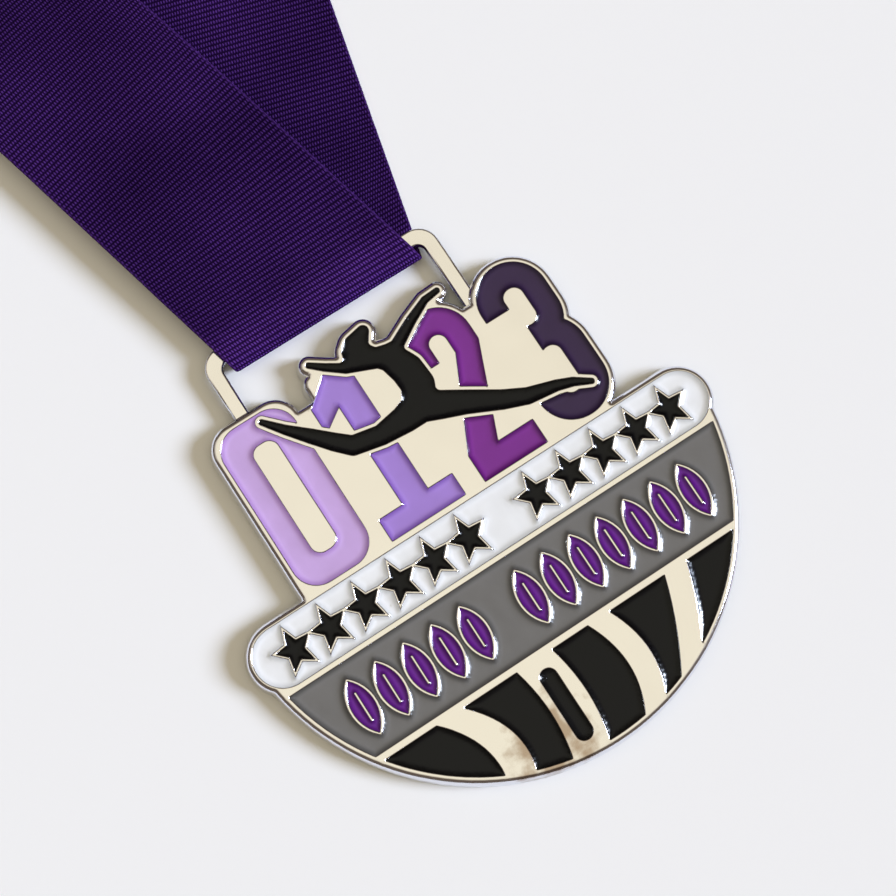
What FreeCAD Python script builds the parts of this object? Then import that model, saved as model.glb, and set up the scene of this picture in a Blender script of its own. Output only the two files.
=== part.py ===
import FreeCAD, Part
import Sketcher
import math
import os

# Finisher medal lying face up: x runs along the banner, y runs towards the ribbon loop,
# z stands out of the face. The origin is the middle of the banner on the back face.
# All sizes are millimetres.

SIZES = {
    "metal_thick": 4.0, "enamel_deep": 0.7, "draft_grow": 0.6,
    "disc_radius": 46.3, "disc_up": 2.8, "disc_rim": 1.3,
    "banner_length": 95.0, "banner_height": 12.6, "banner_rim": 1.0,
    "divider_top": -22.7, "divider_low": -24.1,
    "glyph_wall": 0.6, "figure_wall": 0.8, "plate_rim": 1.3,
    "digit_low": 6.5, "digit_top": 38.0, "stroke": 4.7,
    "slot_left": -23.6, "slot_right": 18.6, "slot_top": 49.15,
    "loop_bar": 3.0, "loop_thick": 1.6, "loop_lift": 1.65, "loop_corner": 4.0,
    "star_radius": 3.25, "star_stretch": 1.15, "star_pitch": 7.07,
    "leaf_height": 10.0, "leaf_width": 4.1, "leaf_pitch": 5.72, "vein_width": 0.55,
    "ribbon_width": 37.8, "ribbon_thick": 0.5, "ribbon_middle": -2.15,
    "ribbon_lean": 14.0, "wrap_radius": 2.2, "wrap_middle": 49.1,
    "crease_at": 146.0, "crease_gap": 0.6, "lap_half": 12.5,
    "thread_thick": 0.3, "thread_high": 0.25,
}

doc = FreeCAD.newDocument("finisher_medal")
sheet = doc.addObject("Spreadsheet::Sheet", "Dims")
for row, (word, value) in enumerate(SIZES.items(), start=1):
    sheet.set("A%d" % row, word)
    sheet.set("B%d" % row, str(value))
    sheet.setAlias("B%d" % row, word)
doc.recompute()

V = FreeCAD.Vector
S = SIZES
TOP = S["metal_thick"]
FLOOR = TOP - S["enamel_deep"]
pieces = []


def keep(obj, label):
    """Mark an object as one finished piece under its file name."""
    obj.Label = label
    pieces.append(obj)
    return obj


def solid_piece(shape, name):
    """A Part::Feature for an outline no sketch feature makes well."""
    obj = doc.addObject("Part::Feature", name)
    obj.Shape = shape
    obj.Placement = FreeCAD.Placement()
    return obj


# ---------------------------------------------------------------- flat outlines

def circle_wire(x, y, radius, z):
    return Part.Wire(Part.makeCircle(radius, V(x, y, z)))


def rounded_wire(box, radius, z):
    """Rectangle (x0, y0, x1, y1) with round corners."""
    x0, y0, x1, y1 = box
    radius = min(radius, (x1 - x0) / 2 - 1e-4, (y1 - y0) / 2 - 1e-4)
    corners = [(x1, y0, -90), (x1, y1, 0), (x0, y1, 90), (x0, y0, 180)]
    edges = []
    ends = []
    for cx, cy, start in corners:
        mx = cx - math.copysign(radius, cx - (x0 + x1) / 2)
        my = cy - math.copysign(radius, cy - (y0 + y1) / 2)
        arc = Part.makeCircle(radius, V(mx, my, z), V(0, 0, 1), start, start + 90)
        edges.append(arc)
        ends.append((arc.valueAt(arc.FirstParameter), arc.valueAt(arc.LastParameter)))
    sides = [Part.makeLine(ends[k][1], ends[(k + 1) % 4][0]) for k in range(4)]
    return Part.Wire([e for pair in zip(edges, sides) for e in pair])


def limb_wire(a, b, grow, z):
    """Outline round two circles a and b, each (x, y, radius), with straight sides."""
    ax, ay, ar = a[0], a[1], a[2] + grow
    bx, by, br = b[0], b[1], b[2] + grow
    along = math.atan2(by - ay, bx - ax)
    span = math.hypot(bx - ax, by - ay)
    lean = math.acos((ar - br) / span)
    up = along + lean
    low = along - lean
    a_up = V(ax + ar * math.cos(up), ay + ar * math.sin(up), z)
    a_low = V(ax + ar * math.cos(low), ay + ar * math.sin(low), z)
    b_up = V(bx + br * math.cos(up), by + br * math.sin(up), z)
    b_low = V(bx + br * math.cos(low), by + br * math.sin(low), z)
    a_back = V(ax - ar * math.cos(along), ay - ar * math.sin(along), z)
    b_tip = V(bx + br * math.cos(along), by + br * math.sin(along), z)
    return Part.Wire([
        Part.Arc(a_up, a_back, a_low).toShape(),
        Part.makeLine(a_low, b_low),
        Part.Arc(b_low, b_tip, b_up).toShape(),
        Part.makeLine(b_up, a_up),
    ])


def polygon_wire(points, z):
    return Part.makePolygon([V(x, y, z) for x, y in points + points[:1]])


def raised(wire, low, high):
    """Upright solid over a flat closed outline drawn at height low."""
    return Part.Face(wire).extrude(V(0, 0, high - low))


def drafted(outline):
    """Casting block: outline(grow, z) is wider at the back than at the face."""
    return Part.makeLoft([outline(S["draft_grow"], 0.0), outline(0.0, TOP)], True, True)


def joined(shapes):
    first = shapes[0]
    return first.multiFuse(shapes[1:]).removeSplitter() if len(shapes) > 1 else first


# ---------------------------------------------------------------- sketched bodies

def body_sketch(body, name, role="XY_Plane"):
    plane = [f for f in body.Origin.OriginFeatures if f.Role == role][0]
    sketch = body.newObject("Sketcher::SketchObject", name)
    sketch.AttachmentSupport = [(plane, "")]
    sketch.MapMode = "FlatFace"
    return sketch


def add_slot_outline(sketch, length, height, length_word, height_word):
    """Pill outline centred on the sketch, with its length and height bound."""
    half = length / 2 - height / 2
    radius = height / 2
    top = sketch.addGeometry(Part.LineSegment(V(-half, radius, 0), V(half, radius, 0)))
    low = sketch.addGeometry(Part.LineSegment(V(-half, -radius, 0), V(half, -radius, 0)))
    right = sketch.addGeometry(
        Part.ArcOfCircle(Part.Circle(V(half, 0, 0), V(0, 0, 1), radius), -math.pi / 2, math.pi / 2))
    left = sketch.addGeometry(
        Part.ArcOfCircle(Part.Circle(V(-half, 0, 0), V(0, 0, 1), radius), math.pi / 2, 1.5 * math.pi))
    tangent = Sketcher.Constraint
    sketch.addConstraint(tangent("Tangent", top, 2, right, 2))
    sketch.addConstraint(tangent("Tangent", right, 1, low, 2))
    sketch.addConstraint(tangent("Tangent", low, 1, left, 2))
    sketch.addConstraint(tangent("Tangent", left, 1, top, 1))
    sketch.addConstraint(tangent("Horizontal", top))
    sketch.addConstraint(tangent("Equal", left, right))
    sketch.addConstraint(tangent("Symmetric", left, 3, right, 3, -1, 1))
    wide = sketch.addConstraint(tangent("DistanceX", left, 3, right, 3, 2 * half))
    tall = sketch.addConstraint(tangent("Radius", right, radius))
    sketch.setExpression("Constraints[%d]" % wide, "%s - (%s)" % (length_word, height_word))
    sketch.setExpression("Constraints[%d]" % tall, "(%s) / 2" % height_word)


def pad(body, sketch, name, height_word, lift_word=None, taper=False):
    feature = body.newObject("PartDesign::Pad", name)
    feature.Profile = sketch
    feature.setExpression("Length", height_word)
    if lift_word:
        sketch.setExpression("AttachmentOffset.Base.z", lift_word)
    if taper:
        feature.setExpression("TaperAngle", "-atan(Dims.draft_grow / Dims.metal_thick)")
    body.Tip = feature
    doc.recompute()
    return feature


def casting_blank():
    """Disc, banner and ribbon loop as one sketched body, with draft on the outside."""
    body = doc.addObject("PartDesign::Body", "Blank")
    disc = body_sketch(body, "DiscOutline")
    add_disc_segment(disc)
    pad(body, disc, "Disc", "Dims.metal_thick", taper=True)

    banner = body_sketch(body, "BannerOutline")
    add_slot_outline(banner, S["banner_length"], S["banner_height"],
                     "Dims.banner_length + 2 * Dims.draft_grow",
                     "Dims.banner_height + 2 * Dims.draft_grow")
    pad(body, banner, "Banner", "Dims.metal_thick", taper=True)

    loop = body_sketch(body, "LoopOutline")
    bar = S["loop_bar"]
    foot = S["digit_top"] - 7.0
    outer = (S["slot_left"] - bar, foot, S["slot_right"] + bar, S["slot_top"] + bar)
    inner = (S["slot_left"], foot + 1.5, S["slot_right"], S["slot_top"])
    add_frame(loop, outer, S["loop_corner"])
    add_frame(loop, inner, S["loop_corner"] - bar + 0.6)
    pad(body, loop, "Loop", "Dims.loop_thick", lift_word="Dims.loop_lift")
    return body


def add_disc_segment(sketch):
    """Part of the disc below the middle of the banner, with its radius and centre bound."""
    radius = S["disc_radius"]
    up = S["disc_up"]
    low = math.asin(-up / radius)
    circle = Part.Circle(V(0, up, 0), V(0, 0, 1), radius)
    arc = sketch.addGeometry(Part.ArcOfCircle(circle, math.pi - low, 2 * math.pi + low))
    half = radius * math.cos(low)
    chord = sketch.addGeometry(Part.LineSegment(V(half, 0, 0), V(-half, 0, 0)))
    limit = Sketcher.Constraint
    sketch.addConstraint(limit("Coincident", arc, 2, chord, 1))
    sketch.addConstraint(limit("Coincident", chord, 2, arc, 1))
    sketch.addConstraint(limit("PointOnObject", chord, 1, -1))
    sketch.addConstraint(limit("PointOnObject", chord, 2, -1))
    sketch.addConstraint(limit("PointOnObject", arc, 3, -2))
    wide = sketch.addConstraint(limit("Radius", arc, radius))
    lift = sketch.addConstraint(limit("DistanceY", -1, 1, arc, 3, up))
    sketch.setExpression("Constraints[%d]" % wide, "Dims.disc_radius + Dims.draft_grow")
    sketch.setExpression("Constraints[%d]" % lift, "Dims.disc_up")


def add_frame(sketch, box, radius):
    """Rectangle with round upper corners, as plain sketch geometry."""
    x0, y0, x1, y1 = box
    centre_left = V(x0 + radius, y1 - radius, 0)
    centre_right = V(x1 - radius, y1 - radius, 0)
    up = V(0, 0, 1)
    half_pi = math.pi / 2
    sketch.addGeometry(Part.LineSegment(V(x0, y0, 0), V(x1, y0, 0)))
    sketch.addGeometry(Part.LineSegment(V(x1, y0, 0), V(x1, y1 - radius, 0)))
    sketch.addGeometry(Part.ArcOfCircle(Part.Circle(centre_right, up, radius), 0, half_pi))
    sketch.addGeometry(Part.LineSegment(V(x1 - radius, y1, 0), V(x0 + radius, y1, 0)))
    sketch.addGeometry(Part.ArcOfCircle(Part.Circle(centre_left, up, radius), half_pi, math.pi))
    sketch.addGeometry(Part.LineSegment(V(x0, y1 - radius, 0), V(x0, y0, 0)))


# ---------------------------------------------------------------- numerals

LOW = S["digit_low"]
HIGH = S["digit_top"]
BOLD = S["stroke"]

# Boxes (x0, x1) of the four numerals, left to right.
ZERO_X = (-32.1, -17.7)
ONE_X = (-14.9, 0.2)
TWO_X = (4.4, 17.4)
THREE_X = (20.2, 33.6)


def zero_outline():
    x0, x1 = ZERO_X
    outer = raised(rounded_wire((x0, LOW, x1, HIGH), 4.6, FLOOR), FLOOR, TOP)
    inner_box = (x0 + BOLD, LOW + BOLD, x1 - BOLD, HIGH - BOLD)
    return outer.cut(raised(rounded_wire(inner_box, 2.0, FLOOR), FLOOR, TOP))


def one_outline():
    x0, x1 = ONE_X
    stem = (x0 + x1) / 2
    half = BOLD / 2 + 0.2
    points = [
        (x0, LOW), (x1, LOW), (x1, LOW + BOLD - 0.4), (stem + half, LOW + BOLD - 0.4),
        (stem + half, HIGH), (stem - half + 0.9, HIGH), (x0 + 0.6, HIGH - 4.4),
        (x0 + 0.6, HIGH - 9.4), (stem - half, HIGH - 6.4), (stem - half, LOW + BOLD - 0.4),
        (x0, LOW + BOLD - 0.4),
    ]
    return raised(polygon_wire(points, FLOOR), FLOOR, TOP)


def two_outline():
    x0, x1 = TWO_X
    hook = raised(rounded_wire((x0, HIGH - 20.0, x1, HIGH), 6.2, FLOOR), FLOOR, TOP)
    eye = (x0 + BOLD, HIGH - 22.0, x1 - BOLD, HIGH - BOLD)
    hook = hook.cut(raised(rounded_wire(eye, 1.8, FLOOR), FLOOR, TOP))
    bend = HIGH - 9.4
    hook = hook.common(Part.makeBox(40, 20, 2, V(x0 - 10.0, bend, FLOOR - 0.5)))
    slope = [
        (x1, bend), (x1 - BOLD, bend), (x0, LOW + BOLD + 0.6), (x0, LOW), (x1, LOW),
        (x1, LOW + BOLD), (x0 + BOLD + 1.0, LOW + BOLD),
    ]
    return joined([hook, raised(polygon_wire(slope, FLOOR), FLOOR, TOP)])


def three_lobes(grow, z):
    """Upper and lower lobe boxes of the three, each grown by the same amount."""
    x0, x1 = THREE_X
    upper = (x0 - grow, 20.6 - grow, x1 - 0.2 + grow, HIGH + grow)
    lower = (x0 - grow, LOW - grow, x1 + grow, 25.8 + grow)
    return [rounded_wire(upper, 6.6 + grow, z), rounded_wire(lower, 6.6 + grow, z)]


def three_outline():
    x0, x1 = THREE_X
    body = joined([raised(wire, FLOOR, TOP) for wire in three_lobes(0.0, FLOOR)])
    middle = 23.2
    half = BOLD / 2
    upper = (x0 + BOLD, middle + half, x1 - BOLD, HIGH - BOLD)
    lower = (x0 + BOLD, LOW + BOLD, x1 - BOLD, middle - half)
    for box in (upper, lower):
        body = body.cut(raised(rounded_wire(box, 1.9, FLOOR), FLOOR, TOP))
    reach = 6.3
    gap_low = LOW + BOLD + 3.2
    gap_high = HIGH - BOLD - 3.2
    gap = Part.makeBox(reach, gap_high - gap_low, 2, V(x0 - 0.5, gap_low, FLOOR - 0.5))
    return body.cut(gap)


# ---------------------------------------------------------------- leaping figure

# Joints of a plain leaping figure: (x, y, radius). Pairs below are joined by limbs.
JOINTS = {
    "head": (-2.4, 38.4, 2.1), "crown": (-1.6, 39.1, 2.1), "bun": (0.9, 40.7, 1.0),
    "neck": (0.4, 35.9, 1.2), "chest": (2.5, 34.0, 2.5), "ribs": (3.7, 30.6, 2.9),
    "waist": (3.9, 27.4, 2.9), "hip": (2.2, 24.0, 3.0), "seat": (-1.4, 23.4, 2.4),
    "back_thigh": (-6.4, 23.2, 1.75), "back_knee": (-11.6, 24.3, 1.7),
    "back_shin": (-14.0, 26.6, 1.55), "back_calf": (-16.8, 29.6, 1.25),
    "back_ankle": (-20.0, 33.0, 0.8), "back_toe": (-22.8, 36.4, 0.45),
    "front_hip": (5.2, 22.2, 2.5), "front_thigh": (9.2, 20.2, 2.1),
    "front_knee": (15.0, 17.0, 1.7), "front_calf": (19.0, 15.2, 1.45),
    "front_ankle": (24.4, 14.0, 0.95), "front_arch": (27.2, 13.0, 0.75),
    "front_toe": (30.1, 11.3, 0.45),
    "left_shoulder": (0.2, 34.6, 1.1), "left_elbow": (-5.2, 36.6, 0.85),
    "left_wrist": (-8.3, 38.8, 0.65), "left_hand": (-10.5, 40.6, 0.45),
    "right_shoulder": (4.4, 35.2, 1.1), "right_elbow": (9.0, 37.7, 0.85),
    "right_wrist": (13.2, 39.6, 0.6), "right_hand": (16.0, 39.9, 0.45),
}
LIMBS = [
    ("head", "crown"), ("crown", "bun"), ("head", "neck"), ("neck", "chest"),
    ("chest", "ribs"), ("ribs", "waist"), ("waist", "hip"), ("hip", "seat"),
    ("seat", "back_thigh"), ("back_thigh", "back_knee"), ("back_knee", "back_shin"),
    ("back_shin", "back_calf"), ("back_calf", "back_ankle"), ("back_ankle", "back_toe"),
    ("hip", "front_hip"), ("front_hip", "front_thigh"), ("front_thigh", "front_knee"),
    ("front_knee", "front_calf"), ("front_calf", "front_ankle"),
    ("front_ankle", "front_arch"), ("front_arch", "front_toe"),
    ("chest", "left_shoulder"), ("left_shoulder", "left_elbow"),
    ("left_elbow", "left_wrist"), ("left_wrist", "left_hand"),
    ("chest", "right_shoulder"), ("right_shoulder", "right_elbow"),
    ("right_elbow", "right_wrist"), ("right_wrist", "right_hand"),
]
SOFTEN = 0.9


def figure_face(z):
    """Flat silhouette of the figure with its inner corners rounded."""
    limbs = [Part.Face(limb_wire(JOINTS[a], JOINTS[b], 0.0, z)) for a, b in LIMBS]
    outline = Part.Face(joined(limbs).Faces[0].OuterWire)
    wide = Part.Face(outline.makeOffset2D(SOFTEN).Wires[0])
    return Part.Face(wide.makeOffset2D(-SOFTEN).Wires[0])


def figure_solid(grow, low, high):
    """The figure grown all round, from height low to height high."""
    face = figure_face(low)
    if grow > 0:
        face = Part.Face(face.makeOffset2D(grow).Wires[0])
    return face.extrude(V(0, 0, high - low))


# ---------------------------------------------------------------- casting

def numeral_plate():
    """Raised plate behind the numerals and the figure, wider at the back."""
    rim = S["plate_rim"]
    boxes = [
        (ZERO_X[0], 0.0, ZERO_X[1], HIGH, 3.4),
        (ONE_X[0] + 3.0, LOW, ONE_X[1] - 3.0, HIGH, 0.8),
        (TWO_X[0], LOW, TWO_X[1], HIGH, 6.2),
        (ZERO_X[0] + 6.0, LOW, THREE_X[0] + 3.0, HIGH - 4.6, 1.0),
    ]
    blocks = []
    for x0, y0, x1, y1, radius in boxes:
        blocks.append(drafted(lambda grow, z, b=(x0, y0, x1, y1), r=radius: rounded_wire(
            (b[0] - rim - grow, b[1] - rim - grow, b[2] + rim + grow, b[3] + rim + grow),
            r + rim + grow, z)))
    for lobe in (0, 1):
        blocks.append(drafted(lambda grow, z, k=lobe: three_lobes(rim + grow, z)[k]))
    for a, b in LIMBS:
        blocks.append(drafted(lambda grow, z, p=JOINTS[a], q=JOINTS[b]: limb_wire(
            p, q, rim + grow, z)))
    return solid_piece(joined(blocks), "NumeralPlate")


# ---------------------------------------------------------------- banner and band

def star_wire(x, grow, z):
    """Five-point star stretched upwards, with grow pushing every side outwards."""
    outer = S["star_radius"] + grow * 1.9
    inner = outer * 0.46
    points = []
    for k in range(10):
        radius = outer if k % 2 == 0 else inner
        angle = math.radians(90 + 36 * k)
        points.append((x + radius * math.cos(angle),
                       (radius * math.sin(angle) - 0.2) * S["star_stretch"]))
    return polygon_wire(points, z)


def star_places():
    """Six stars, one empty place, five stars."""
    return [S["star_pitch"] * (k - 5.5) for k in range(12) if k != 6]


def leaf_wire(x, grow, z):
    """Pointed upright leaf in the band."""
    middle = (S["divider_top"] - S["banner_height"] / 2) / 2 - 0.1
    tall = S["leaf_height"] / 2 + grow * 1.15
    half = S["leaf_width"] / 2 + grow
    top = V(x, middle + tall, z)
    low = V(x, middle - tall, z)
    right = Part.Arc(top, V(x + half, middle, z), low).toShape()
    left = Part.Arc(low, V(x - half, middle, z), top).toShape()
    return Part.Wire([right, left])


def leaf_places():
    """Five leaves, one empty place, seven leaves."""
    return [S["leaf_pitch"] * (k - 6) for k in range(13) if k != 5]


def vein_solid(x):
    middle = (S["divider_top"] - S["banner_height"] / 2) / 2 - 0.1
    half = S["vein_width"] / 2
    box = (x - half, middle - 2.9, x + half, middle + 2.9)
    return raised(rounded_wire(box, half, FLOOR), FLOOR, TOP)


def disc_inside(low, high):
    """Enamelled part of the disc between two heights of y."""
    radius = S["disc_radius"] - S["disc_rim"]
    disc = raised(circle_wire(0, S["disc_up"], radius, FLOOR), FLOOR, TOP)
    return disc.common(Part.makeBox(120, high - low, 2, V(-60, low, FLOOR - 0.5)))


def banner_field():
    inset = S["banner_rim"]
    half_long = S["banner_length"] / 2 - inset
    half_high = S["banner_height"] / 2 - inset
    box = (-half_long, -half_high, half_long, half_high)
    field = raised(rounded_wire(box, half_high, FLOOR), FLOOR, TOP)
    stars = [raised(star_wire(x, S["glyph_wall"], FLOOR), FLOOR, TOP) for x in star_places()]
    return field.cut(stars)


def band_field():
    field = disc_inside(S["divider_top"], -S["banner_height"] / 2 - 0.1)
    leaves = [raised(leaf_wire(x, S["glyph_wall"], FLOOR), FLOOR, TOP) for x in leaf_places()]
    return field.cut(leaves)


# Curved metal flutes under the divider: x at the top, the middle and the rim, and width.
FLUTES = [
    (-23.4, -17.6, -21.6, 5.6), (-5.8, -4.6, -7.2, 7.4),
    (7.4, 9.8, 4.6, 4.6), (24.0, 19.4, 12.2, 4.8),
]
FLUTE_LOW = -46.0


def flute_solid(top, middle, low, width):
    """S-curved metal flute from the divider to the rim."""
    high = S["divider_low"] + 0.5
    mid_high = (high + FLUTE_LOW) / 2
    half = width / 2

    def side(shift):
        curve = Part.BSplineCurve()
        curve.interpolate([V(top + shift, high, FLOOR), V(middle + shift, mid_high, FLOOR),
                           V(low + shift, FLUTE_LOW, FLOOR)])
        return curve.toShape()

    left = side(-half)
    right = side(half)
    ends = [Part.makeLine(V(top - half, high, FLOOR), V(top + half, high, FLOOR)),
            Part.makeLine(V(low - half, FLUTE_LOW, FLOOR), V(low + half, FLUTE_LOW, FLOOR))]
    return raised(Part.Wire(Part.__sortEdges__([left, right] + ends)), FLOOR, TOP)


def base_fields():
    """Glossy cells between the flutes, and the long cell inside the second flute."""
    field = disc_inside(-60.0, S["divider_low"])
    field = field.cut([flute_solid(*flute) for flute in FLUTES])
    cell = raised(rounded_wire((-6.7, -40.0, -3.6, -26.2), 1.5, FLOOR), FLOOR, TOP)
    return joined([field.cut(cell), cell])


# ---------------------------------------------------------------- ribbon

WIDE_X = S["ribbon_width"] / math.cos(math.radians(S["ribbon_lean"]))
SLOPE = math.tan(math.radians(S["ribbon_lean"]))
HALF_THICK = S["ribbon_thick"] / 2
BAR_UP = S["loop_lift"] + S["loop_thick"] / 2
WRAP_RUN = S["wrap_radius"] * math.pi / 2
LEFT = -1
RIGHT = 1


def section_corners(centre, across, through, wide):
    """Corners of a cross-section: across is the width direction, through the thickness."""
    a = across * (wide / 2)
    b = through * HALF_THICK
    return [centre - a - b, centre + a - b, centre + a + b, centre - a + b]


def closed_wire(corners):
    return Part.makePolygon(corners + corners[:1])


def ruled_face(a, b):
    """Face of straight lines between two curves that share their knots."""
    surface = Part.BSplineSurface()
    surface.buildFromPolesMultsKnots(
        [a.getPoles(), b.getPoles()], [2, 2], a.getMultiplicities(),
        [0, 1], a.getKnots(), False, False, 1, a.Degree)
    return surface.toShape()


def smooth_strip(sections, places):
    """Solid whose four long edges run smoothly through the corners of the sections."""
    rails = []
    for corner in range(4):
        curve = Part.BSplineCurve()
        curve.interpolate(Points=[section[corner] for section in sections], Parameters=places)
        rails.append(curve)
    faces = [ruled_face(a, b) for a, b in zip(rails, rails[1:] + rails[:1])]
    faces += [Part.Face(closed_wire(section)) for section in (sections[0], sections[-1])]
    skin = Part.makeCompound(faces)
    skin.sewShape()
    solid = Part.makeSolid(skin.Shells[0])
    if solid.Volume < 0:
        solid.reverse()
    return solid


def leg_x(side, run):
    """Middle of a leg after a run measured from the lowest point of the fold."""
    return S["ribbon_middle"] + side * SLOPE * run


def bar_fold():
    """Half turn of ribbon under the loop bar, from the back sheet to the front sheet."""
    wires = []
    steps = 12
    for k in range(steps + 1):
        angle = -math.pi / 2 + math.pi * k / steps
        side = LEFT if angle > 0 else RIGHT
        run = abs(angle) * S["wrap_radius"]
        out = V(0, -math.cos(angle), math.sin(angle))
        centre = V(leg_x(side, run), S["wrap_middle"], BAR_UP) + out * S["wrap_radius"]
        wires.append(closed_wire(section_corners(centre, V(1, 0, 0), out, WIDE_X)))
    return Part.makeLoft(wires, True, False)


def leg(side, heights):
    """Nearly flat leg with its cross-sections parallel to the bar."""
    end = S["crease_at"] - S["crease_gap"] / 2
    wires = []
    for y, z in heights + [(end, HALF_THICK)]:
        x = leg_x(side, y - S["wrap_middle"] + WRAP_RUN)
        corners = section_corners(V(x, y, z), V(1, 0, 0), V(0, 0, 1), WIDE_X)
        wires.append(closed_wire(corners))
    return Part.makeLoft(wires, True, True)


def smooth(value):
    value = max(0.0, min(1.0, value))
    return value * value * (3 - 2 * value)


# Neck run, measured along the ribbon from the crease.
FLAT_RUN = 18.0
TURN_RUN = 82.0
STRAIGHT_RUN = 35.0
WIDE_LEAN = 24.0
BENDS = 24
LAP_STEPS = 5
LAP_GAP = 0.08
STITCH_LIFT = 0.04


def plan_path():
    """Plan of one half of the neck loop: list of (x, y, heading), outwards to the lap."""
    step = 2.0
    x = SLOPE * (S["crease_at"] - S["wrap_middle"] + WRAP_RUN)
    y = S["crease_at"]
    points = [(x, y, S["ribbon_lean"])]
    length = FLAT_RUN + TURN_RUN + STRAIGHT_RUN
    count = int(round(length / step))
    for k in range(count):
        run = (k + 0.5) * step
        lean = S["ribbon_lean"] + (WIDE_LEAN - S["ribbon_lean"]) * smooth(
            (run - FLAT_RUN) / TURN_RUN)
        x += step * math.sin(math.radians(lean))
        y += step * math.cos(math.radians(lean))
        points.append((x, y, lean))
    radius = (x - S["lap_half"]) / math.cos(math.radians(WIDE_LEAN))
    centre_x = S["lap_half"]
    centre_y = y + radius * math.sin(math.radians(WIDE_LEAN))
    turn = 90.0 + WIDE_LEAN
    for k in range(1, BENDS + 1):
        lean = WIDE_LEAN - turn * k / BENDS
        points.append((centre_x + radius * math.cos(math.radians(lean)),
                       centre_y - radius * math.sin(math.radians(lean)), lean))
    y = centre_y + radius
    for k in range(1, LAP_STEPS + 1):
        points.append((S["lap_half"] * (1 - 2 * k / LAP_STEPS), y, -90.0))
    return points


def neck_run(side):
    """One half of the neck loop: lies flat at the crease, then turns on to its edge."""
    plan = plan_path()
    bend_start = int(round((FLAT_RUN + TURN_RUN + STRAIGHT_RUN) / 2.0))
    sections = []
    places = []
    run = 0.0
    last = plan[0]
    for k, (x, y, lean) in enumerate(plan):
        run += math.hypot(x - last[0], y - last[1])
        places.append(run)
        last = (x, y, lean)
        square = smooth(run / FLAT_RUN)
        tilt = math.radians(90.0) * smooth((run - FLAT_RUN * 0.6) / TURN_RUN)
        heading = math.radians(lean) * side
        turned = heading * square
        level = V(math.cos(turned), -math.sin(turned), 0)
        across = level * math.cos(tilt) + V(0, 0, 1) * math.sin(tilt)
        through = V(0, 0, 1) * math.cos(tilt) - level * math.sin(tilt)
        wide = WIDE_X + (S["ribbon_width"] - WIDE_X) * square
        lift = wide / 2 * math.sin(tilt) + HALF_THICK * math.cos(tilt)
        outward = 0.0
        if side == RIGHT and k > bend_start:
            outward = (S["ribbon_thick"] + LAP_GAP) * smooth((k - bend_start) / (BENDS - 5.0))
        start = S["crease_gap"] / 2 * (1 - square)
        centre = V(S["ribbon_middle"] + side * x, y + start + outward, lift)
        sections.append(section_corners(centre, across, through, wide))
    return smooth_strip(sections, places), plan[-1][1]


def zigzag_solid(y, depth):
    """Thread of one row of stitches on the face of the lap, running up the ribbon."""
    rows = 12
    low = 3.0
    rise = (S["ribbon_width"] - 6.0) / rows
    reach = 8.0
    half = S["thread_thick"] / 2
    middle = S["ribbon_middle"]
    places = [(middle + reach * (-1) ** k, low + rise * k) for k in range(rows + 1)]
    strands = []
    for (x0, z0), (x1, z1) in zip(places, places[1:]):
        length = math.hypot(x1 - x0, z1 - z0)
        bar = Part.makeBox(length + 2 * half, depth, 2 * half, V(-half, 0, -half))
        angle = math.degrees(math.atan2(z1 - z0, x1 - x0))
        bar.Placement = FreeCAD.Placement(V(x0, y, z0), FreeCAD.Rotation(V(0, -1, 0), angle))
        strands.append(bar)
    return joined(strands)


# ---------------------------------------------------------------- build

fills = [
    (zero_outline, "enamel_numeral_zero"), (one_outline, "enamel_numeral_one"),
    (two_outline, "enamel_numeral_two"), (three_outline, "enamel_numeral_three"),
]
figure_gap = figure_solid(S["figure_wall"], FLOOR - 0.2, TOP + 0.2)
for outline, label in fills:
    keep(solid_piece(outline().cut(figure_gap), label), label)
keep(solid_piece(figure_solid(0.0, FLOOR, TOP), "enamel_dancer"), "enamel_dancer")
keep(solid_piece(banner_field(), "enamel_banner_field"), "enamel_banner_field")
stars = Part.makeCompound([raised(star_wire(x, 0.0, FLOOR), FLOOR, TOP) for x in star_places()])
keep(solid_piece(stars, "enamel_banner_stars"), "enamel_banner_stars")
keep(solid_piece(band_field(), "enamel_band_field"), "enamel_band_field")
leaves = [raised(leaf_wire(x, 0.0, FLOOR), FLOOR, TOP).cut(vein_solid(x)) for x in leaf_places()]
keep(solid_piece(Part.makeCompound(leaves), "enamel_band_leaves"), "enamel_band_leaves")
keep(solid_piece(base_fields(), "enamel_base_fields"), "enamel_base_fields")

blank = casting_blank()
plate = numeral_plate()
raw = doc.addObject("Part::MultiFuse", "RawCasting")
raw.Shapes = [blank, plate]
recesses = doc.addObject("Part::Compound", "Recesses")
recesses.Links = [obj for obj in pieces]
casting = doc.addObject("Part::Cut", "medal_casting")
casting.Base = raw
casting.Tool = recesses
doc.recompute()
keep(casting, "medal_casting")

front_heights = [
    (S["wrap_middle"], BAR_UP + S["wrap_radius"]), (58.0, BAR_UP + S["wrap_radius"]),
    (74.0, 5.1), (100.0, 5.1), (112.0, 4.4), (122.0, 3.1), (132.0, 1.4), (139.0, 0.5),
    (143.0, HALF_THICK),
]
back_heights = [(S["wrap_middle"], HALF_THICK), (100.0, HALF_THICK)]
keep(solid_piece(bar_fold(), "ribbon_bar_fold"), "ribbon_bar_fold")
keep(solid_piece(leg(LEFT, front_heights), "ribbon_front_leg"), "ribbon_front_leg")
keep(solid_piece(leg(RIGHT, back_heights), "ribbon_back_leg"), "ribbon_back_leg")
left_run, far_y = neck_run(LEFT)
right_run, far_y = neck_run(RIGHT)
keep(solid_piece(left_run, "ribbon_left_run"), "ribbon_left_run")
keep(solid_piece(right_run, "ribbon_right_run"), "ribbon_right_run")
outer_face = far_y + 3 * HALF_THICK + LAP_GAP + STITCH_LIFT
inner_face = far_y - HALF_THICK - STITCH_LIFT
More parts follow.
